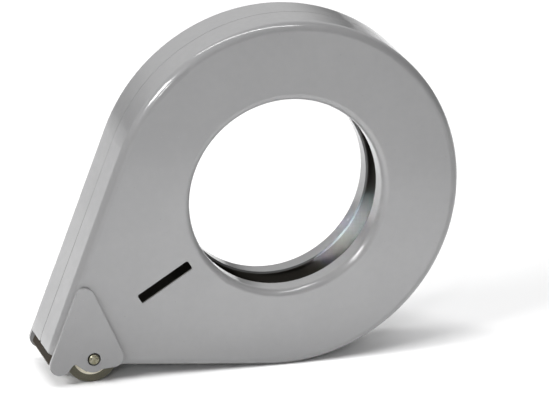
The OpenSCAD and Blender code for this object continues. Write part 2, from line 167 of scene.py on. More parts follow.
class Outline:
    """A chain of edges, drawn point after point in a bmesh with its operators."""

    def __init__(self, bm: Shape, start: Vector, *points: Vector) -> None:
        """Starts the chain.

        Args:
            bm: The bmesh to draw in.
            start: The first point.
            *points: More points, joined by straight edges.
        """
        self.bm = bm
        self.verts: list[bmesh.types.BMVert] = [bm.verts.new(start)]
        for point in points:
            self.line_to(point)

    def line_to(self, point: Vector) -> "Outline":
        """Adds a straight edge.

        Args:
            point: Where the edge ends.

        Returns:
            The outline itself.
        """
        made = bmesh.ops.extrude_vert_indiv(self.bm, verts=[self.verts[-1]])
        made["verts"][0].co = point
        self.verts.append(made["verts"][0])
        return self

    def arc(self, centre: Vector, angle: float, steps: int) -> "Outline":
        """Adds an arc that turns the last point about a sideways axis.

        Args:
            centre: The arc's middle.
            angle: How far it turns.
            steps: How many edges it gets.

        Returns:
            The outline itself.
        """
        before = len(self.bm.verts)
        bmesh.ops.spin(
            self.bm, geom=[self.verts[-1]], cent=centre, axis=SIDEWAYS, angle=angle, steps=steps
        )
        self.bm.verts.ensure_lookup_table()
        self.verts.extend(self.bm.verts[before:])
        return self

    def close(self) -> "Outline":
        """Joins the last point to the first."""
        self.bm.edges.new((self.verts[-1], self.verts[0]))
        return self

    @property
    def edges(self) -> list[bmesh.types.BMEdge]:
        """The chain's own edges.

        Returns:
            The edges in order, with the closing one if there is one.
        """
        pairs = list(zip(self.verts, self.verts[1:]))
        if len(self.verts) > 2:
            pairs.append((self.verts[-1], self.verts[0]))
        found = (self.bm.edges.get(pair) for pair in pairs)
        return [edge for edge in found if edge is not None]


def finished(bm: Shape, name: str, smooth_below: float = 35.0) -> Piece:
    """Makes a mesh object of a bmesh, with its place in its mesh.

    Args:
        bm: The shape, already where it belongs.
        name: The piece's name.
        smooth_below: Edges that turn by less than this many degrees are shaded smooth.

    Returns:
        The new object, linked into the scene.
    """
    mesh = bpy.data.meshes.new(name)
    bm.to_mesh(mesh)
    bm.free()
    mesh.shade_smooth()
    mesh.set_sharp_from_angle(angle=math.radians(smooth_below))
    piece = bpy.data.objects.new(name, mesh)
    bpy.context.scene.collection.objects.link(piece)
    return piece


def lathe(layout: Layout, name: str, profile: list[Span], steps: int, closed: bool) -> Piece:
    """Turns a profile about the roller's axle and closes its seam and poles.

    Args:
        layout: The shared places.
        name: The piece's name.
        profile: Points of (radius, depth towards the cover).
        steps: Steps of the turn.
        closed: Whether the profile closes on itself, or ends on the axis.

    Returns:
        The piece.
    """
    bm = bmesh.new()
    centre = lifted(layout.axle, 0.0) + layout.hub
    outline = Outline(bm, *(centre + Vector((r, -depth, 0.0)) for r, depth in profile))
    if closed:
        outline.close()
    bmesh.ops.spin(
        bm, geom=outline.verts + outline.edges, cent=centre, axis=SIDEWAYS,
        angle=2 * math.pi, steps=steps, use_merge=True,
    )
    bmesh.ops.remove_doubles(bm, verts=bm.verts, dist=TINY)
    bmesh.ops.recalc_face_normals(bm, faces=bm.faces)
    return finished(bm, name)


def soften(piece: Piece, width: float, steps: int = 2, angle: float = 40.0) -> None:
    """Rounds a piece's sharp edges and evens its shading.

    Args:
        piece: The piece.
        width: The rounding's width.
        steps: Its segments.
        angle: Edges that turn by more than this many degrees are rounded.
    """
    bevel = piece.modifiers.new("broken_edges", "BEVEL")
    bevel.width = width
    bevel.segments = steps
    bevel.limit_method = "ANGLE"
    bevel.angle_limit = math.radians(angle)
    bevel.harden_normals = True
    even = piece.modifiers.new("even_shading", "WEIGHTED_NORMAL")
    even.keep_sharp = True
    even.weight = 100


# ---- shader node helpers ----


class Shader:
    """A node tree with short ways to add and join nodes."""

    def __init__(self, tree: Tree) -> None:
        """Takes the tree that it adds to."""
        self.tree = tree

    def add(
        self, kind: str, values: dict[str | int, object] | None = None, **settings: object
    ) -> Node:
        """Adds a node.

        Args:
            kind: The node's type, without its ShaderNode start.
            values: Input sockets, with a value or a socket to join to each.
            **settings: Attributes of the node itself.

        Returns:
            The node.
        """
        node = self.tree.nodes.new("ShaderNode" + kind)
        for key, value in settings.items():
            setattr(node, key, value)
        for key, value in (values or {}).items():
            self.put(node.inputs[key], value)
        return node

    def put(self, socket: Socket, value: object) -> None:
        """Sets a socket, or joins another to it.

        Args:
            socket: The input.
            value: A value, or an output to join.
        """
        if isinstance(value, Socket):
            self.tree.links.new(value, socket)
        else:
            socket.default_value = value

    def maths(self, operation: str, a: object, b: object = 0.0, c: object = 0.0) -> Socket:
        """The result of a Math node with values or sockets."""
        return self.add("Math", {0: a, 1: b, 2: c}, operation=operation).outputs[0]

    def ramp(self, value: object, start: Span = (0.0, 1.0),
             end: Span = (0.0, 1.0)) -> Socket:
        """Carries a value smoothly from one range to another.

        Args:
            value: The value.
            start: The range that it comes from.
            end: The range that it goes to.

        Returns:
            The result.
        """
        values = {"Value": value, "From Min": start[0], "From Max": start[1],
                  "To Min": end[0], "To Max": end[1]}
        return self.add("MapRange", values, interpolation_type="SMOOTHSTEP").outputs["Result"]

    def tint(self, a: object, b: object, share: object) -> Socket:
        """The mix of two colours, a where the share is 0 and b where it is 1."""
        node = self.add("Mix", {"Factor": share, 6: a, 7: b}, data_type="RGBA")
        return node.outputs[2]

    def bump(self, height: Socket, rise: float, strength: float = 1.0,
             under: Socket | None = None) -> Socket:
        """Raises a surface by a height.

        Args:
            height: The height, from 0 to 1.
            rise: How far 1 stands up, in metres.
            strength: The share of it that shows.
            under: The normal of a broader bump below it.

        Returns:
            The normal.
        """
        values = {"Height": height, "Distance": rise, "Strength": strength}
        if under is not None:
            values["Normal"] = under
        return self.add("Bump", values).outputs[0]

    @property
    def place(self) -> Socket:
        """The Object coordinates, in metres."""
        return self.add("TexCoord").outputs["Object"]

    def noise(self, size: object, detail: float = 2.0, stretch: Place = (1, 1, 1),
              place: Socket | None = None) -> Socket:
        """Adds noise from 0 to 1.

        Args:
            size: How large its features are, in metres.
            detail: How many finer layers it has.
            stretch: Its scale along the axes.
            place: Coordinates in place of the Object ones.

        Returns:
            The noise.
        """
        mapping = self.add("Mapping", {"Vector": place or self.place, "Scale": stretch})
        scale = self.maths("DIVIDE", 1.0, size)
        values = {"Vector": mapping.outputs[0], "Scale": scale, "Detail": detail}
        return self.add("TexNoise", values).outputs["Fac"]


class FromHub:
    """Shader coordinates that start at the hub's axis."""

    def __init__(self, shader: Shader, layout: Layout) -> None:
        """Adds the nodes for the place and for its distance from mid-width.

        Args:
            shader: The material's helper.
            layout: The shared places.
        """
        self.shader = shader
        start = {"Vector": shader.place, "Location": -layout.hub}
        self.spot: Socket = shader.add("Mapping", start).outputs[0]
        y = shader.add("SeparateXYZ", {"Vector": self.spot}).outputs["Y"]
        self.depth: Socket = shader.maths("ABSOLUTE", y)

    def along(self, way: Vector) -> Socket:
        """How far a place lies along a direction (x, z)."""
        values = {0: self.spot, 1: lifted(way, 0.0)}
        return self.shader.add("VectorMath", values, operation="DOT_PRODUCT").outputs["Value"]

    @property
    def radius(self) -> Socket:
        """How far a place lies from the hub's axis.

        Returns:
            The distance.
        """
        values = {0: self.spot, 1: (1.0, 0.0, 1.0)}
        flat = self.shader.add("VectorMath", values, operation="MULTIPLY").outputs[0]
        return self.shader.add("VectorMath", {0: flat}, operation="LENGTH").outputs["Value"]


# ---- shared shader groups ----


def new_group(
    name: str, inputs: dict[str, float], outputs: tuple[str, ...]
) -> tuple[Shader, Node, Node]:
    """Starts a shared shader group.

    Args:
        name: The group's name.
        inputs: Float inputs with their defaults.
        outputs: The names of its masks.

    Returns:
        The tree's helper, its input node and its output node.
    """
    tree = bpy.data.node_groups.new(name, "ShaderNodeTree")
    for key, value in inputs.items():
        socket = tree.interface.new_socket(key, in_out="INPUT", socket_type="NodeSocketFloat")
        socket.default_value = value
    for key in outputs:
        tree.interface.new_socket(key, in_out="OUTPUT", socket_type="NodeSocketFloat")
    into = tree.nodes.new("NodeGroupInput")
    return Shader(tree), into, tree.nodes.new("NodeGroupOutput")


@cache
def mottle_group() -> Tree:
    """Makes soft uneven patches, as a mask from 0 to 1.

    Returns:
        The group. Its sizes are in metres.
    """
    inputs = {"Size": 20 * MM, "Fine Size": 2 * MM, "Fine Share": 0.3}
    shader, into, out = new_group("soft_mottle", inputs, ("Mask",))
    broad = shader.noise(into.outputs["Size"], detail=3.0)
    fine = shader.noise(into.outputs["Fine Size"], detail=2.0)
    mixed = shader.add("Mix", {"Factor": into.outputs["Fine Share"], "A": broad, "B": fine})
    shader.put(out.inputs["Mask"], shader.ramp(mixed.outputs[0], (0.3, 0.7)))
    return shader.tree


@cache
def speck_group() -> Tree:
    """Makes scattered specks, as a mask from 0 to 1.

    Returns:
        The group. Its spacing and size are in metres.
    """
    inputs = {"Spacing": 2 * MM, "Size": 0.2 * MM, "Amount": 0.3}
    shader, into, out = new_group("scattered_specks", inputs, ("Mask",))
    scale = shader.maths("DIVIDE", 1.0, into.outputs["Spacing"])
    cells = shader.add("TexVoronoi", {"Vector": shader.place, "Scale": scale}, feature="F1")
    distance = shader.maths("MULTIPLY", cells.outputs["Distance"], into.outputs["Spacing"])
    near = shader.maths("DIVIDE", distance, into.outputs["Size"])
    dot = shader.ramp(near, (0.6, 1.2), (1.0, 0.0))
    shade = shader.add("SeparateColor", {"Color": cells.outputs["Color"]})
    chosen = shader.maths("LESS_THAN", shade.outputs[0], into.outputs["Amount"])
    shader.put(out.inputs["Mask"], shader.maths("MULTIPLY", dot, chosen))
    return shader.tree


@cache
def grain_group() -> Tree:
    """Makes fine lines that run along one axis, as a mask for each of two axes.

    Returns:
        The group. Its length and width are in metres.
    """
    names = ("Along X", "Along Y")
    shader, into, out = new_group("drawn_grain", {"Length": 20 * MM, "Width": 0.2 * MM}, names)
    width = into.outputs["Width"]
    stretch = shader.maths("DIVIDE", width, into.outputs["Length"])
    for axis, name in enumerate(names):
        factors = shader.add("CombineXYZ", {"X": 1.0, "Y": 1.0, "Z": 1.0})
        shader.put(factors.inputs[axis], stretch)
        values = {"Vector": shader.place, "Scale": factors.outputs[0]}
        mapping = shader.add("Mapping", values)
        shader.put(out.inputs[name], shader.noise(width, place=mapping.outputs[0]))
    return shader.tree


# ---- finishes ----


class Paint(Shader):
    """A material's node tree, with its Principled BSDF."""

    def __init__(self, name: str, roughness: float, metallic: float = 0.0) -> None:
        """Starts a material.

        Args:
            name: The finish's name.
            roughness: Roughness where nothing is joined to it.
            metallic: Metallic where nothing is joined to it.
        """
        self.material = bpy.data.materials.new(name)
        self.material.use_nodes = True
        super().__init__(self.material.node_tree)
        self.surface = self.tree.nodes["Principled BSDF"]
        self.wear({"Roughness": roughness, "Metallic": metallic})

    def wear(self, values: dict[str, object]) -> Material:
        """Sets the surface's inputs, or joins sockets to them.

        Args:
            values: The inputs' names, with a value or a socket for each.

        Returns:
            The material.
        """
        for key, value in values.items():
            self.put(self.surface.inputs[key], value)
        return self.material

    def mask(self, tree: Tree, output: str = "Mask", **values: float) -> Socket:
        """Puts a shared group into the material with its own values.

        Args:
            tree: The group.
            output: The name of the mask.
            **values: The group's inputs, in small letters and with underscores.

        Returns:
            The mask.
        """
        node = self.tree.nodes.new("ShaderNodeGroup")
        node.node_tree = tree
        for key, value in values.items():
            node.inputs[key.replace("_", " ").title()].default_value = value
        return node.outputs[output]


@dataclass(frozen=True)
class Enamel:
    """Stoved grey enamel on pressed steel, with orange peel, dust specks and a slight mottle.

    The inside of the casing is painted a dark primer-like tone without the clear coat, as
    painted shade in the cavity, and the seam down the front wall is painted dark, as painted
    shade in its gap, more so towards the mouth.
    """

    colour: Colour = (0.200, 0.200, 0.201, 1.0)
    shade: Colour = (0.186, 0.186, 0.188, 1.0)
    speck: Colour = (0.10, 0.097, 0.094, 1.0)
    pale_speck: Colour = (0.34, 0.34, 0.34, 1.0)
    # painted shade inside the casing, in a dark primer-like tone
    inside_shade: Colour = (0.088, 0.082, 0.071, 1.0)
    # painted shade in the seam gap down the front wall
    seam_shade: Colour = (0.06, 0.056, 0.05, 1.0)
    speck_share: float = 0.45
    pale_share: float = 0.35
    roughness: Span = (0.3, 0.38)
    coat: float = 0.9
    peel: float = 1.5 * MM
    peel_height: float = 0.015 * MM
    fine_peel: float = 0.45 * MM
    fine_share: float = 0.15
    wave: float = 11.0 * MM
    wave_height: float = 0.07 * MM
    seam_half: float = 0.17 * MM
    seam_opens: Span = (8 * MM, 42 * MM)
    skin_share: float = 0.75
    collar_share: float = 0.2

    def inside(self, shader: Shader, layout: Layout) -> Socket:
        """Marks the inner skin of the casing for its painted shade, and leaves out its fillets'
        outer skin.

        Args:
            shader: The material's helper.
            layout: The shared places.

        Returns:
            A mask, 1 on the inner skin, where the shade is painted.
        """
        here = FromHub(shader, layout)
        radius = here.radius
        walls = shader.maths(
            "MAXIMUM", here.along(layout.front_out), here.along(layout.bottom_out)
        )
        chord = layout.casing_r * math.cos(layout.front_angle - layout.nose_angle)
        ahead = here.along(direction(layout.nose_angle))
        nose = shader.maths("GREATER_THAN", ahead, chord)
        reach = shader.add("Mix", {"Factor": nose, "A": radius, "B": walls}).outputs[0]
        skin, bend = self.skin_share * layout.sheet_t, layout.edge_r - 0.5 * layout.sheet_t
        corner = layout.casing_r + layout.half_w - 2 * layout.edge_r + bend * math.sqrt(2)
        collar = layout.collar_r - self.collar_share * layout.sheet_t
        marks = (
            shader.maths("LESS_THAN", here.depth, layout.half_w - skin),
            shader.maths("LESS_THAN", reach, layout.casing_r - skin),
            shader.maths("LESS_THAN", shader.maths("ADD", reach, here.depth), corner),
            shader.maths("GREATER_THAN", radius, collar),
        )
        mask = marks[0]
        for mark in marks[1:]:
            mask = shader.maths("MULTIPLY", mask, mark)
        return mask

    def painted_seam_shade(self, shader: Shader, layout: Layout) -> Socket:
        """Marks the painted shade along the seam down the front wall, stronger towards the
        mouth.

        Args:
            shader: The material's helper.
            layout: The shared places.

        Returns:
            A mask, 1 on the seam's painted shade near the mouth.
        """
        here = FromHub(shader, layout)
        near = shader.maths("LESS_THAN", here.depth, self.seam_half)
        opening = shader.ramp(here.along(layout.front_down), self.seam_opens)
        return shader.maths("MULTIPLY", near, opening)

    def skin(self, shader: Shader) -> Socket:
        """Raises the orange peel over the sheet's long waves.

        Args:
            shader: The material's helper.

        Returns:
            The normal.
        """
        peel = shader.noise(self.peel, detail=1.5)
        fine = shader.noise(self.fine_peel, detail=1.0)
        height = shader.maths("MULTIPLY_ADD", fine, self.fine_share, peel)
        waves = shader.bump(shader.noise(self.wave, detail=1.0), self.wave_height)
        return shader.bump(height, self.peel_height, under=waves)

    def build(self) -> Material:
        """Makes the material.

        Returns:
            The material.
        """
        layout = Layout()
        paint = Paint("grey_enamel", roughness=0.34)
        patches = paint.mask(mottle_group(), size=28 * MM, fine_size=3 * MM, fine_share=0.3)
        specks = paint.mask(speck_group(), spacing=3.2 * MM, size=0.17 * MM, amount=0.35)
        pale = paint.mask(speck_group(), spacing=2.1 * MM, size=0.12 * MM, amount=0.3)
        inside = self.inside(paint, layout)
        colour = paint.tint(self.colour, self.shade, patches)
        for layer, share in (
            (self.speck, paint.maths("MULTIPLY", specks, self.speck_share)),
            (self.pale_speck, paint.maths("MULTIPLY", pale, self.pale_share)),
            # painted shade in the seam gap, darker towards the mouth
            (self.seam_shade, self.painted_seam_shade(paint, layout)),
            # painted shade: the whole inner skin is tinted dark, as if the cavity were unlit
            (self.inside_shade, inside),
        ):
            colour = paint.tint(colour, layer, share)
        normal = self.skin(paint)
        return paint.wear({
            "Base Color": colour,
            "Roughness": paint.ramp(patches, end=self.roughness),
            "Coat Weight": paint.maths("MULTIPLY_ADD", inside, -self.coat, self.coat),
            "Coat Roughness": 0.045,
            "Specular IOR Level": 0.3,
            "Normal": normal,
            "Coat Normal": normal,
        })


@dataclass(frozen=True)
class BareSteel:
    """Plain or plated steel with drawn lines, stains and small scratches."""

    name: str
    colour: Colour
    stain: Colour
    roughness: float
    streaks: Span = (0.55, 0.8)
    streak_share: float = 0.5
    swing: float = 0.16
    groove: float = 0.004 * MM

    def build(self) -> Material:
        """Makes the material.

        Returns:
            The material.
        """
        paint = Paint(self.name, self.roughness, metallic=1.0)
        patches = paint.mask(mottle_group(), size=6 * MM, fine_size=0.7 * MM, fine_share=0.4)
        lines = paint.mask(grain_group(), "Along X", length=8 * MM, width=0.12 * MM)
        base = paint.tint(self.colour, self.stain, patches)
        streak = paint.ramp(lines, self.streaks, (0.0, self.streak_share))
        smoothest = self.roughness - self.swing / 2
        return paint.wear({
            "Base Color": paint.tint(base, self.stain, streak),
            "Roughness": paint.maths("MULTIPLY_ADD", lines, self.swing, smoothest),
            "Normal": paint.bump(lines, self.groove),
        })


@dataclass(frozen=True)
class BladeSteel:
    """Blackened blade steel, rubbed bright at the points of the teeth."""

    black: Colour = (0.018, 0.015, 0.011, 1.0)
    brown: Colour = (0.035, 0.027, 0.019, 1.0)
    rubbed: Colour = (0.33, 0.31, 0.27, 1.0)
    worn_depth: float = 0.9 * MM
    patchiness: Span = (0.1, 0.9)
    least_worn: float = 0.35
    roughness: Span = (0.48, 0.62)
    groove: float = 0.004 * MM

    def build(self) -> Material:
        """Makes the material.

        Returns:
            The material.
        """
        paint = Paint("blackened_steel", roughness=0.55)
        patches = paint.mask(mottle_group(), size=4 * MM, fine_size=0.5 * MM, fine_share=0.5)
        lines = paint.mask(grain_group(), "Along Y", length=6 * MM, width=0.1 * MM)
        height = paint.add("SeparateXYZ", {"Vector": paint.place}).outputs["Z"]
        above = paint.maths("SUBTRACT", height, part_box("blade")[0][2])
        worn = paint.ramp(above, (0.0, self.worn_depth), (1.0, 0.0))
        uneven = paint.ramp(patches, self.patchiness, (self.least_worn, 1.0))
        bright = paint.maths("MULTIPLY", worn, uneven)
        dark = paint.tint(self.black, self.brown, patches)
        return paint.wear({
            "Base Color": paint.tint(dark, self.rubbed, bright),
            "Metallic": bright,
            "Roughness": paint.ramp(patches, end=self.roughness),
            "Specular IOR Level": 0.06,
            "Normal": paint.bump(lines, self.groove),
        })


@dataclass(frozen=True)
class PittedPlate:
    """Thin dull plating that has pitted down to yellow metal."""

    plate: Colour = (0.3, 0.292, 0.234, 1.0)
    brass: Colour = (0.145, 0.132, 0.077, 1.0)
    pit: Colour = (0.035, 0.032, 0.024, 1.0)
    pit_share: float = 0.8
    pit_depth: float = 0.06 * MM
    roughness: Span = (0.3, 0.55)

    def build(self) -> Material:
        """Makes the material.

        Returns:
            The material.
        """
        paint = Paint("pitted_plating", roughness=0.36, metallic=0.9)
        patches = paint.mask(mottle_group(), size=1.4 * MM, fine_size=0.35 * MM, fine_share=0.45)
        pits = paint.mask(speck_group(), spacing=0.55 * MM, size=0.2 * MM, amount=0.6)
        base = paint.tint(self.plate, self.brass, patches)
        sunk = paint.maths("SUBTRACT", 1.0, pits)
        return paint.wear({
            "Base Color": paint.tint(
                base, self.pit, paint.maths("MULTIPLY", pits, self.pit_share)
            ),
            "Roughness": paint.ramp(patches, end=self.roughness),
            "Normal": paint.bump(sunk, self.pit_depth, strength=0.8),
        })


@dataclass(frozen=True)
class Nylon:
    """Natural cream nylon, turned, with faint rings and a little grime."""

    cream: Colour = (0.66, 0.62, 0.49, 1.0)
    grime: Colour = (0.40, 0.35, 0.25, 1.0)
    grime_spread: Span = (0.45, 1.0)
    grime_share: float = 0.5
    depth: Place = (1.2 * MM, 1.0 * MM, 0.8 * MM)
    ring_w: float = 0.25 * MM
    ring_height: float = 0.006 * MM

    def build(self) -> Material:
        """Makes the material.

        Returns:
            The material.
        """
        paint = Paint("cream_nylon", roughness=0.45)
        patches = paint.mask(mottle_group(), size=3 * MM, fine_size=0.4 * MM, fine_share=0.35)
        dirt = paint.ramp(patches, self.grime_spread, (0.0, self.grime_share))
        rings = paint.noise(self.ring_w, stretch=(0.02, 1.0, 0.02))
        return paint.wear({
            "Base Color": paint.tint(self.cream, self.grime, dirt),
            "Subsurface Weight": 0.15,
            "Subsurface Radius": self.depth,
            "Subsurface Scale": 1.0,
            "Normal": paint.bump(rings, self.ring_height),
        })


@dataclass(frozen=True)
class Rubber:
    """Aged olive rubber, ground matt, with dust in its grain."""

    olive: Colour = (0.062, 0.058, 0.034, 1.0)
    dust: Colour = (0.13, 0.12, 0.085, 1.0)
    dust_spread: Span = (0.2, 1.0)
    dust_share: float = 0.55
    roughness: Span = (0.6, 0.8)
    grit: float = 0.22 * MM
    grit_height: float = 0.02 * MM

    def build(self) -> Material:
        """Makes the material.

        Returns:
            The material.
        """
        paint = Paint("olive_rubber", roughness=0.68)
        patches = paint.mask(mottle_group(), size=5 * MM, fine_size=0.3 * MM, fine_share=0.6)
        share = paint.ramp(patches, self.dust_spread, (0.0, self.dust_share))
        ground = paint.noise(self.grit, detail=3.0)
        return paint.wear({
            "Base Color": paint.tint(self.olive, self.dust, share),
            "Roughness": paint.ramp(patches, end=self.roughness),
            "Sheen Weight": 0.15,
            "Normal": paint.bump(ground, self.grit_height),
        })


class Finishes:
    """Every finish on the object, by the record's slot."""

    plain = BareSteel("plain_steel", (0.24, 0.235, 0.23, 1.0), (0.13, 0.12, 0.11, 1.0), 0.45)
    zinc = BareSteel("zinc_plating", (0.62, 0.63, 0.65, 1.0), (0.45, 0.46, 0.44, 1.0), 0.33)

    def __init__(self) -> None:
        """Builds the materials."""
        looks = {
            "casing_steel": Enamel(),
            "strip_steel": self.plain,
            "blade_steel": BladeSteel(),
            "zinc": self.zinc,
            "axle_nickel": PittedPlate(),
            "core_nylon": Nylon(),
            "sleeve_rubber": Rubber(),
        }
        self.by_slot: dict[str, Material] = {slot: look.build() for slot, look in looks.items()}

    def dress(self, piece: Piece, *slots: str) -> None:
        """Gives a piece its finishes in order.

        Args:
            piece: The piece.
            *slots: The record's slots that the finishes come from.
        """
        piece.data.materials.clear()
        for slot in slots:
            piece.data.materials.append(self.by_slot[slot])


# ---- the sub-assemblies ----


def install(piece: Piece, finishes: Finishes, slot: str, body: str, *nodes: str) -> None:
    """Dresses a new piece, sets it on its body, and hides the nodes that it stands for.

    Args:
        piece: The new piece, which may have its finishes already.
        finishes: The finishes by slot.
        slot: The record's slot of its finish.
        body: The body that it rides on.
        *nodes: The CAD nodes that it replaces.
    """
    if not piece.data.materials:
        finishes.dress(piece, slot)
    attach(piece, body)
    if nodes:
        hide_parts(*nodes)
    LOG.info("%s: %d faces, rides on %s", piece.name, len(piece.data.polygons), body)


class KeptUnit:
    """A sub-assembly whose nodes keep their own meshes, each with a finish and broken edges."""

    slots: dict[str, str] = {}
    bevels: dict[str, float] = {}
    bevel = 0.08 * MM
    merge = 0.001 * MM
    sharp_above = 35.0

    def build(self, finishes: Finishes) -> None:
        """Gives every node its modifiers and its finish.

        Args:
            finishes: The finishes by slot.
        """
        for name, slot in self.slots.items():
            node = frame["nodes"][name]
            finishes.dress(node, slot)
            weld = node.modifiers.new("joined", "WELD")
            weld.merge_threshold = self.merge
            soften(node, self.bevels.get(name, self.bevel), angle=self.sharp_above)
            LOG.info("%s keeps its mesh, finish %s", name, slot)


class Shells(KeptUnit):
    """The two half shells and the straight strips behind their seam."""

    slots = {
        "far_shell": "casing_steel",
        "near_shell": "casing_steel",
        "seam_strip_front": "strip_steel",
        "seam_strip_bottom": "strip_steel",
    }


class CuttingUnit(KeptUnit):
    """The toothed blade, its bent holder and its two screws."""

    slots = {"blade_holder": "strip_steel", "blade": "blade_steel", "blade_screws": "zinc"}
    bevels = {"blade": 0.03 * MM}


class RollerFittings(KeptUnit):
    """The clip and the washer on the roller's axle."""

    slots = {"axle_clip": "strip_steel", "thrust_washer": "zinc"}
    bevels = {"axle_clip": 0.05 * MM}


class CoverHinge(KeptUnit):
    """The two leaves at the rear and the pin through them."""

    slots = {
        "hinge_leaf_far": "casing_steel",
        "hinge_pin": "zinc",
        "hinge_leaf_near": "casing_steel",
    }


class CoverCatch(KeptUnit):
    """The leaf spring that holds the cover shut, and its rivet."""

    slots = {"catch_spring": "strip_steel", "catch_rivet": "zinc"}
    bevels = {"catch_spring": 0.05 * MM}


@dataclass
class SidePlate:
    """A thick side plate at the nose, with a lobe, a notch and a boss round the axle."""

    layout: Layout
    side: Side
    name: str
    node: str
    hole_r: float
    thick: float = 1.6 * MM
    corner_r: float = 3.8 * MM
    inset: float = 1.4 * MM
    rise: float = 21.2 * MM
    drop: float = 5.8 * MM
    rear: float = 7.5 * MM
    boss_r: float = 5.1 * MM
    notch_r: float = 1.2 * MM
    notch: Span = (-7.1 * MM, -2.8 * MM)
    notch_front: float = math.radians(233.0)
    notch_rear: float = math.radians(322.0)
    rounded: float = 0.22 * MM
    rounded_steps: int = 5
    merge: float = 0.002 * MM
    edge_break: float = 0.1 * MM
    smooth_below: float = 50.0
    sharp_above: float = 55.0
    notch_steps: int = 10
    boss_steps: int = 16
    rear_steps: int = 20
    corner_steps: int = 24
    hole_steps: int = 48

    def corners(self) -> tuple[Vector, Vector, Vector]:
        """Finds the middles of the rounded corners.

        Returns:
            The top corner, the lobe and the rear corner.
        """
        down = self.layout.axle.dot(self.layout.front_down)
        inset = self.inset + self.corner_r
        top = self.layout.on_front(down - self.rise, inset)
        lobe = self.layout.on_front(down + self.drop, inset)
        return top, lobe, self.layout.axle + Vector((self.rear, 0.0))

    def outline(self, bm: Shape, depth: float) -> None:
        """Draws the plate's edge, from the lobe's foot round by the rear to the front.

        Args:
            bm: The bmesh to draw in.
            depth: The outline's place along Y.
        """
        axle, r = self.layout.axle, self.corner_r
        top, lobe, rear = self.corners()

        def outward(a: Vector, b: Vector) -> Vector:
            """Away from the plate's side that runs from a to b."""
            along = (b - a).normalized()
            return Vector((along.y, -along.x))

        def at(place: Vector) -> Vector:
            """A place on the outline's own depth."""
            return lifted(place, depth)

        below, behind, before = outward(lobe, rear), outward(rear, top), outward(top, lobe)
        level = (rear - lobe).normalized()
        apex = axle + Vector(self.notch)
        front_leg, rear_leg = direction(self.notch_front), direction(self.notch_rear)
        front_side = Vector((front_leg.y, -front_leg.x))
        rear_side = Vector((-rear_leg.y, rear_leg.x))
        base = lobe + below * r
        notch_in = crossing(apex + front_side * self.notch_r, front_leg, base, level)
        notch_out = crossing(apex + rear_side * self.notch_r, rear_leg, base, level)
        foot = base + level * (axle - base).dot(level)
        half = math.sqrt(self.boss_r**2 - (foot - axle).length ** 2)
        boss_turn = 2 * math.asin(half / self.boss_r)

        path = Outline(bm, at(base)).line_to(at(notch_in))
        path.line_to(at(apex + front_side * self.notch_r))
        path.arc(at(apex), front_side.angle(rear_side), self.notch_steps)
        path.line_to(at(notch_out)).line_to(at(foot - level * half))
        path.arc(at(axle), -boss_turn, self.boss_steps)
        path.line_to(at(rear + below * r))
        path.arc(at(rear), -below.angle(behind), self.rear_steps)
        path.line_to(at(top + behind * r))
        path.arc(at(top), -behind.angle(before), self.corner_steps)
        path.line_to(at(lobe + before * r))
        path.arc(at(lobe), -before.angle(below), self.corner_steps)

    def pierce(self, bm: Shape) -> None:
        """Cuts the axle's hole through both caps and lines it.

        Args:
            bm: The plate, still whole.
        """
        loops: list[bmesh.types.BMEdge] = []
        for cap in sorted(bm.faces, key=lambda face: -len(face.verts))[:2]:
            middle = lifted(self.layout.axle, cap.calc_center_median().y)
            edges = list(cap.edges)
            bmesh.ops.delete(bm, geom=[cap], context="FACES_ONLY")
            turn = Matrix.Translation(middle) @ Matrix.Rotation(math.pi / 2, 4, "X")
            ring = bmesh.ops.create_circle(
                bm, segments=self.hole_steps, radius=self.hole_r, matrix=turn
            )
            ring_edges = list({edge for vert in ring["verts"] for edge in vert.link_edges})
            loops += ring_edges
            bmesh.ops.triangle_fill(
                bm, use_beauty=True, use_dissolve=False, edges=edges + ring_edges,
                normal=-SIDEWAYS,
            )
        bmesh.ops.bridge_loops(bm, edges=loops)

    def build(self, finishes: Finishes) -> None:
        """Makes the plate, dresses it and sets it on its half.

        Args:
            finishes: The finishes by slot.
        """
        bm = bmesh.new()
        self.outline(bm, -self.layout.half_w - self.thick)
        bmesh.ops.remove_doubles(bm, verts=bm.verts, dist=TINY)
        face = bmesh.ops.contextual_create(bm, geom=bm.edges[:])["faces"][0]
        rim = list(face.edges)
        moved = bmesh.ops.extrude_face_region(bm, geom=[face], use_keep_orig=True)
        back = [item for item in moved["geom"] if isinstance(item, bmesh.types.BMVert)]
        bmesh.ops.translate(bm, verts=back, vec=(0.0, self.thick, 0.0))
        bmesh.ops.recalc_face_normals(bm, faces=bm.faces)
        bmesh.ops.bevel(
            bm, geom=rim, offset=self.rounded, segments=self.rounded_steps, profile=0.5,
            affect="EDGES", material=-1,
        )
        bmesh.ops.remove_doubles(bm, verts=bm.verts, dist=self.merge)
        self.pierce(bm)
        bmesh.ops.translate(bm, verts=bm.verts, vec=self.layout.hub)
        if self.side is Side.FIXED:
            bmesh.ops.scale(bm, verts=bm.verts, vec=(1.0, -1.0, 1.0))
        bmesh.ops.recalc_face_normals(bm, faces=bm.faces)
        piece = finished(bm, self.name, self.smooth_below)
        soften(piece, self.edge_break, 1, self.sharp_above)
        install(piece, finishes, "casing_steel", self.side.value, self.node)


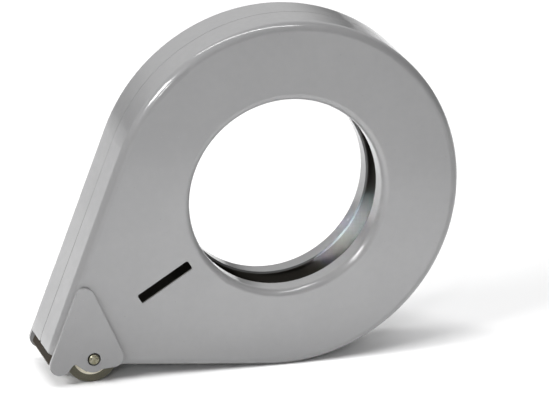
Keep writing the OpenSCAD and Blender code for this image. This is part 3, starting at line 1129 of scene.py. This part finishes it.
@dataclass
class RollerUnit:
    """The rubber roller on its nylon core, with its turned axle."""

    layout: Layout
    length: float = 26.0 * MM
    sleeve_r: float = 10.0 * MM
    sleeve_bevel: float = 0.4 * MM
    sleeve_break: float = 0.15 * MM
    core_r: float = 7.0 * MM
    core_break: float = 0.12 * MM
    bore_r: float = 2.0 * MM
    recess_r: float = 4.3 * MM
    recess_depth: float = 1.2 * MM
    axle_r: float = 1.95 * MM
    axle_bevel: float = 0.4 * MM
    axle_break: float = 0.08 * MM
    axle_end: float = 16.9 * MM
    head_r: float = 3.2 * MM
    head_at: float = 16.2 * MM
    groove: Span = (12.0 * MM, 12.8 * MM)
    groove_r: float = 1.5 * MM
    roller_steps: int = 96
    axle_steps: int = 64
    sharp_above: float = 25.0

    def sleeve(self) -> Piece:
        """Makes the rubber sleeve.

        Returns:
            The piece.
        """
        end, r, bevel = self.length / 2, self.sleeve_r, self.sleeve_bevel
        profile = [
            (self.core_r, -end), (r - bevel, -end), (r, bevel - end), (r, end - bevel),
            (r - bevel, end), (self.core_r, end),
        ]
        piece = lathe(self.layout, "rubber_sleeve", profile, self.roller_steps, True)
        soften(piece, self.sleeve_break, 3, self.sharp_above)
        return piece

    def core(self) -> Piece:
        """Makes the nylon core with the clip's recess.

        Returns:
            The piece.
        """
        end, deep = self.length / 2, self.length / 2 - self.recess_depth
        profile = [
            (self.bore_r, -end), (self.core_r, -end), (self.core_r, end), (self.recess_r, end),
            (self.recess_r, deep), (self.bore_r, deep),
        ]
        piece = lathe(self.layout, "nylon_core", profile, self.roller_steps, True)
        soften(piece, self.core_break)
        return piece

    def axle(self) -> Piece:
        """Makes the axle, with a closed head, a clip groove and a bevelled free end.

        Returns:
            The piece.
        """
        end, r, bevel, (low, high) = self.axle_end, self.axle_r, self.axle_bevel, self.groove
        profile = [
            (0.0, -end), (self.head_r - bevel, -end), (self.head_r, bevel - end),
            (self.head_r, -self.head_at), (r, -self.head_at), (r, low), (self.groove_r, low),
            (self.groove_r, high), (r, high), (r, end - bevel), (r - bevel, end), (0.0, end),
        ]
        piece = lathe(self.layout, "turned_axle", profile, self.axle_steps, False)
        soften(piece, self.axle_break, angle=self.sharp_above)
        return piece

    def build(self, finishes: Finishes) -> None:
        """Makes and dresses the unit, and sets the roller and the axle on their bodies.

        Args:
            finishes: The finishes by slot.
        """
        for piece, slot, body, node in (
            (self.sleeve(), "sleeve_rubber", "roller", "roller_sleeve"),
            (self.core(), "core_nylon", "roller", "roller_core"),
            (self.axle(), "axle_nickel", "body", "roller_axle"),
        ):
            install(piece, finishes, slot, body, node)


@dataclass
class TopStrip:
    """The stepped strip that lines up the halves behind the seam, round the top."""

    layout: Layout
    strip_t: float = 0.8 * MM
    strip_w: float = 3.2 * MM
    clear: float = 0.3 * MM
    end: float = math.radians(60.0)
    steps: int = 110
    bead_w: float = 0.15 * MM
    bead_drop: float = 0.09 * MM
    bead_above: float = 0.05 * MM

    def section(self) -> list[Vector]:
        """Lists the corners of the strip's section at its front end.

        Returns:
            The corners, with the bead that stands up into the seam.
        """
        outer = self.layout.casing_r - self.layout.sheet_t
        step, inner = outer - self.clear, outer - self.strip_t
        crown, bead = self.layout.casing_r - self.bead_drop, self.bead_w / 2
        corners = [
            (outer, self.strip_w), (outer, bead), (crown, bead), (crown, -bead), (step, -bead),
            (step, -self.strip_w), (step - self.strip_t, -self.strip_w),
            (step - self.strip_t, 0.0), (inner, 0.0), (inner, self.strip_w),
        ]
        ray = direction(self.layout.front_angle)
        return [self.layout.hub + lifted(ray * r, depth) for r, depth in corners]

    def build(self, finishes: Finishes) -> None:
        """Makes the strip, with the painted bead that closes the seam, and sets it on its body.

        Args:
            finishes: The finishes by slot. The bead has the casing's enamel.
        """
        bm = bmesh.new()
        hub = self.layout.hub
        section = Outline(bm, *self.section()).close()
        end = bmesh.ops.contextual_create(bm, geom=section.edges)["faces"]
        bmesh.ops.spin(
            bm, geom=end, cent=hub, axis=SIDEWAYS, angle=self.layout.front_angle - self.end,
            steps=self.steps,
        )
        bmesh.ops.remove_doubles(bm, verts=bm.verts, dist=TINY)
        bmesh.ops.recalc_face_normals(bm, faces=bm.faces)
        piece = finished(bm, "seam_strip_round")
        finishes.dress(piece, "strip_steel", "casing_steel")
        painted = self.layout.casing_r - self.layout.sheet_t + self.bead_above
        for face in piece.data.polygons:
            face.material_index = int((face.center - hub).xz.length > painted)
        install(piece, finishes, "strip_steel", "body", "seam_strip_top")


# ---- the studio ----


def new_light(name: str, kind: str, watts: float, place: Vector) -> Piece:
    """Adds a light to the scene.

    Args:
        name: The light's name.
        kind: Its type.
        watts: Its power.
        place: Where it hangs.

    Returns:
        The light's object.
    """
    data = bpy.data.lights.new(name, kind)
    data.energy = watts
    light = bpy.data.objects.new(name, data)
    light.location = place
    bpy.context.scene.collection.objects.link(light)
    return light


@dataclass(frozen=True)
class Panel:
    """A soft rectangular light that faces a point."""

    name: str
    place: Place
    size: Span
    watts: float
    aim: Place = (0.0, 0.0, 60 * MM)

    def hang(self) -> None:
        """Hangs the panel."""
        light = new_light(self.name, "AREA", self.watts, Vector(self.place))
        light.data.shape = "RECTANGLE"
        light.data.size, light.data.size_y = self.size
        way = Vector(self.aim) - Vector(self.place)
        light.rotation_euler = way.to_track_quat("-Z", "Y").to_euler()


@dataclass(frozen=True)
class FloorPool:
    """A soft pool of light that falls straight down on the floor."""

    place: Place = (0.03, -0.14, 1.0)
    spread: float = math.radians(15.0)
    watts: float = 52.0
    blend: float = 0.7
    softness: float = 0.03

    def hang(self) -> None:
        """Hangs the spot."""
        light = new_light("floor_pool", "SPOT", self.watts, Vector(self.place))
        light.data.spot_size = self.spread
        light.data.spot_blend = self.blend
        light.data.shadow_soft_size = self.softness


@dataclass(frozen=True)
class GapBeam:
    """A narrow beam through the hand hole into the gap between the collars, low on its right."""

    angle: float = math.radians(-40.0)
    slope: float = math.radians(23.5)
    away: float = 0.45
    inset: float = 2.2 * MM
    size: Span = (3 * MM, 30 * MM)
    spread: float = math.radians(1.1)
    watts: float = 0.0036
    colour: Place = (0.88, 0.9, 1.0)

    def hang(self) -> None:
        """Hangs the beam's light, with its long side along the gap."""
        layout = Layout()
        outward = direction(self.angle)
        gap = layout.hub + lifted((layout.collar_r - self.inset) * outward, 0.0)
        way = lifted(outward * math.sin(self.slope), math.cos(self.slope))
        light = new_light("accent", "AREA", self.watts, gap - self.away * way)
        light.data.shape = "RECTANGLE"
        light.data.size, light.data.size_y = self.size
        light.data.spread = self.spread
        light.data.color = self.colour
        turn = way.to_track_quat("-Z", "Y") @ Quaternion((0.0, 0.0, 1.0), self.angle)
        light.rotation_euler = turn.to_euler()
        light.visible_camera = False


@dataclass(frozen=True)
class Sky:
    """White light all round, dim at the horizon and brightest above the backdrop."""

    zenith: float = 0.38
    horizon: float = 0.1
    backdrop: float = 0.68
    seen: float = 0.97
    dome: Span = (0.1, 0.8)
    backdrop_foot: Span = (0.02, 0.3)

    def build(self) -> None:
        """Makes the world, which the camera sees as an even near white."""
        world = bpy.data.worlds.new("studio")
        world.use_nodes = True
        shader = Shader(world.node_tree)
        way = shader.add("SeparateXYZ", {"Vector": shader.add("TexCoord").outputs["Generated"]})
        height = way.outputs["Z"]
        background = world.node_tree.nodes["Background"]
        background.inputs["Color"].default_value = (1.0, 1.0, 1.0, 1.0)
        dome = shader.ramp(height, self.dome, (self.horizon, self.zenith))
        behind = shader.ramp(way.outputs["Y"], self.dome, (0.0, self.backdrop))
        lit = shader.maths("MULTIPLY_ADD", behind, shader.ramp(height, self.backdrop_foot), dome)
        direct = shader.add("LightPath").outputs["Is Camera Ray"]
        shown = shader.add("Mix", {"Factor": direct, "A": lit, "B": self.seen}).outputs[0]
        shader.put(background.inputs["Strength"], shown)
        bpy.context.scene.world = world


@dataclass
class Studio:
    """Camera, floor, sky and lights."""

    eye: Place = (-0.480551, -1.62313, 0.65840)
    forward: Place = (0.27265, 0.90217, -0.33429)
    up: Place = (0.08225, 0.32433, 0.94236)
    lens: float = 320.9
    sensor: float = 36.0
    clip: Span = (0.05, 50.0)
    floor_size: float = 8.0
    floor_middle: Place = (0.0, 3.0, -0.02 * MM)
    floor_colours: tuple[Colour, Colour] = ((0.9, 0.9, 0.9, 1.0), (0.88, 0.88, 0.885, 1.0))
    floor_patches: float = 0.4
    floor_roughness: float = 0.75
    floor_specular: float = 0.1
    lights: tuple[Panel | FloorPool | GapBeam, ...] = (
        Panel("overhead", (-0.1, -0.1, 1.5), (1.9, 0.16), 15.0),
        Panel("key", (-1.35, -0.6, 1.15), (0.8, 0.45), 25.0),
        Panel("front", (-0.85, -1.55, 0.75), (0.22, 0.22), 6.0),
        FloorPool(),
        GapBeam(),
    )

    def camera(self) -> None:
        """Sets the camera where the photograph was taken from."""
        data = bpy.data.cameras.new("camera")
        data.lens = self.lens
        data.sensor_width = self.sensor
        data.sensor_fit = "HORIZONTAL"
        data.clip_start, data.clip_end = self.clip
        camera = bpy.data.objects.new("camera", data)
        bpy.context.scene.collection.objects.link(camera)
        back, up = -Vector(self.forward).normalized(), Vector(self.up).normalized()
        turn = Matrix((up.cross(back), up, back)).transposed().to_4x4()
        camera.matrix_world = Matrix.Translation(self.eye) @ turn
        bpy.context.scene.camera = camera

    def floor(self) -> None:
        """Lays a pale floor."""
        bm = bmesh.new()
        bmesh.ops.create_grid(bm, x_segments=2, y_segments=2, size=self.floor_size)
        bmesh.ops.translate(bm, verts=bm.verts, vec=self.floor_middle)
        floor = finished(bm, "floor")
        paint = Paint("pale_floor", self.floor_roughness)
        faint = paint.noise(self.floor_patches, detail=1.0)
        floor.data.materials.append(paint.wear({
            "Base Color": paint.tint(*self.floor_colours, faint),
            "Specular IOR Level": self.floor_specular,
        }))

    def build(self) -> None:
        """Sets up everything but the object."""
        self.camera()
        self.floor()
        Sky().build()
        for light in self.lights:
            light.hang()
        bpy.context.scene.view_settings.view_transform = "Standard"


def main() -> None:
    """Builds the studio and the dispenser's sub-assemblies in order."""
    logging.basicConfig(level=logging.INFO, format="%(name)s: %(message)s")
    Studio().build()
    layout = Layout()
    finishes = Finishes()
    for unit in (
        SidePlate(layout, Side.FIXED, "fixed_side_plate", "far_cheek", 1.95 * MM),
        SidePlate(layout, Side.COVER, "cover_side_plate", "near_cheek", 2.47 * MM),
        RollerUnit(layout),
        TopStrip(layout),
        Shells(),
        CuttingUnit(),
        RollerFittings(),
        CoverHinge(),
        CoverCatch(),
    ):
        unit.build(finishes)


if __name__ == "__main__":
    main()
